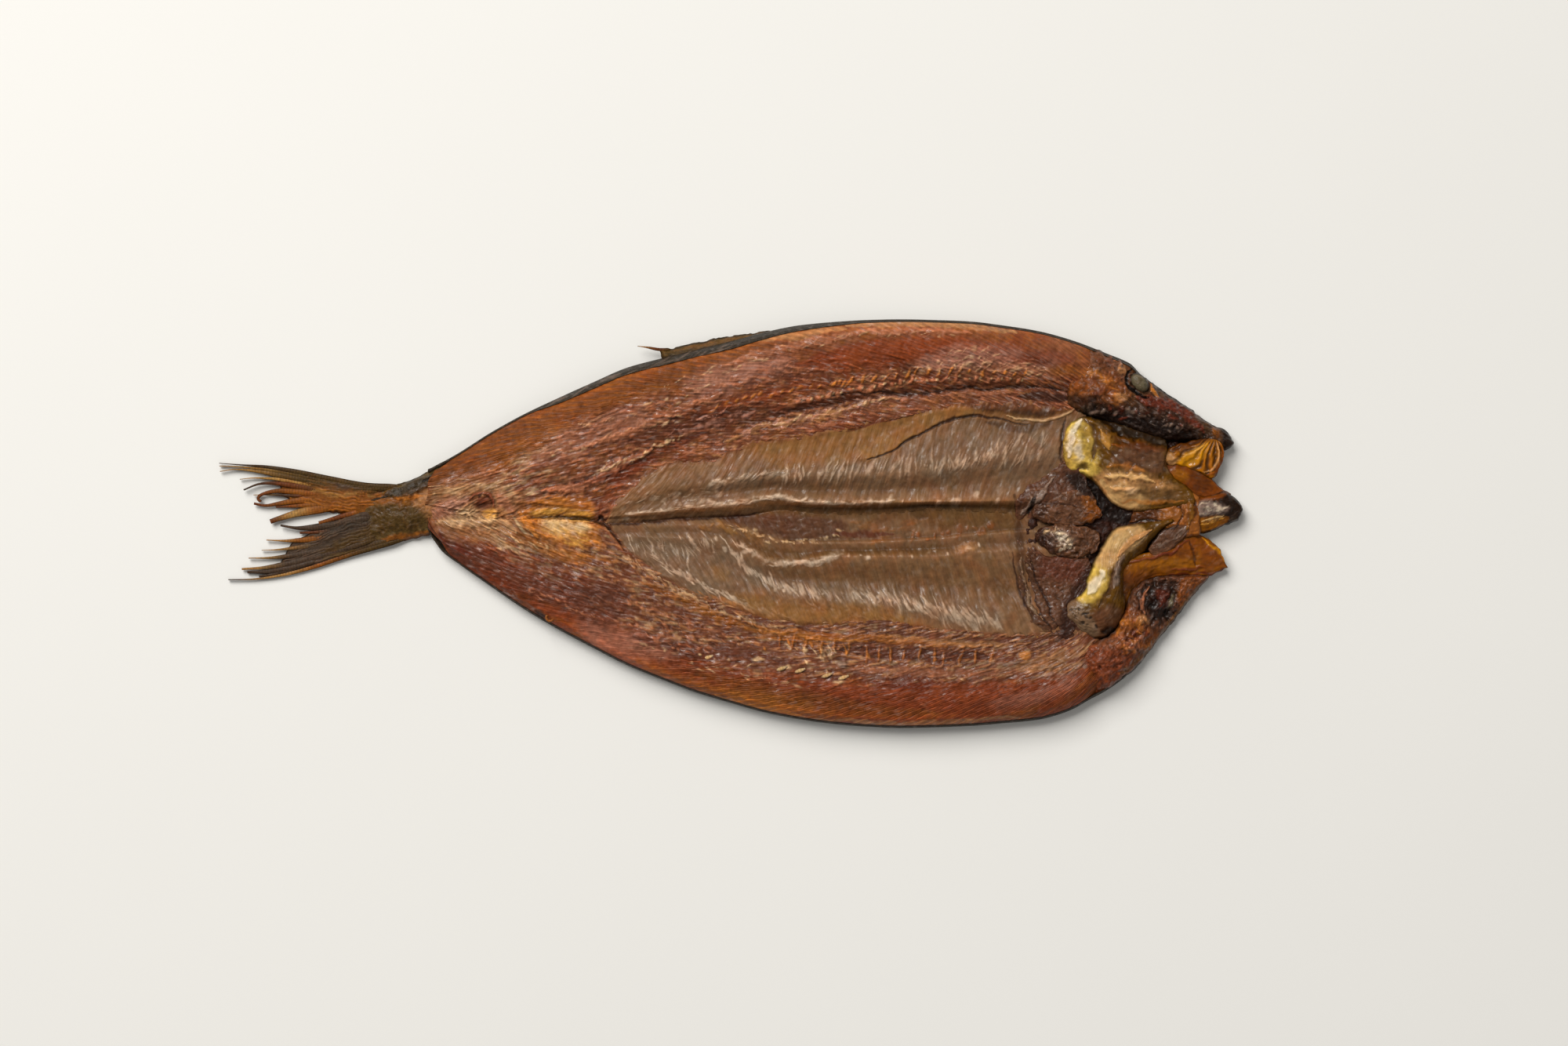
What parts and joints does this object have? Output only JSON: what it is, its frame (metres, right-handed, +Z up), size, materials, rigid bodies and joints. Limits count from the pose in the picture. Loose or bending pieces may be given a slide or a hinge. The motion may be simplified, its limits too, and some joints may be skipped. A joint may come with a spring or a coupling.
{
  "type": "smoked herring",
  "caption": "Whole smoked herring split along the back and opened flat, flesh side up, with its head halved, gill covers folded in and tail fin frayed.",
  "frame": {"origin": "under the middle of the fish, on the surface that it rests on", "axes": "+X towards the snout, +Y towards the fillet that keeps the back fin and the eye, +Z up out of the flesh side"},
  "size_m": [0.3, 0.119, 0.0128],
  "materials": {
    "flesh": "oily red-brown smoked muscle, semi-gloss",
    "belly_lining": "thin shiny grey-brown membrane over rib bones",
    "skin": "smoked scaly skin, dark back and golden silver belly",
    "fin": "dried segmented fin rays in brown membrane",
    "gill_cover": "silver-gold bony plate with an oily lustre",
    "mouth_membrane": "stretched translucent amber skin, glossy",
    "dark_tissue": "wet, almost black dried blood, gill tissue and jaw skin",
    "heart": "glossy dark red-brown lobes",
    "eye": "dried, dull grey-green eye",
    "bone": "cream and amber cut bone ends and cartilage"
  },
  "bodies": {
    "root": {"smoked_herring": "flesh"}
  },
  "joints": []
}
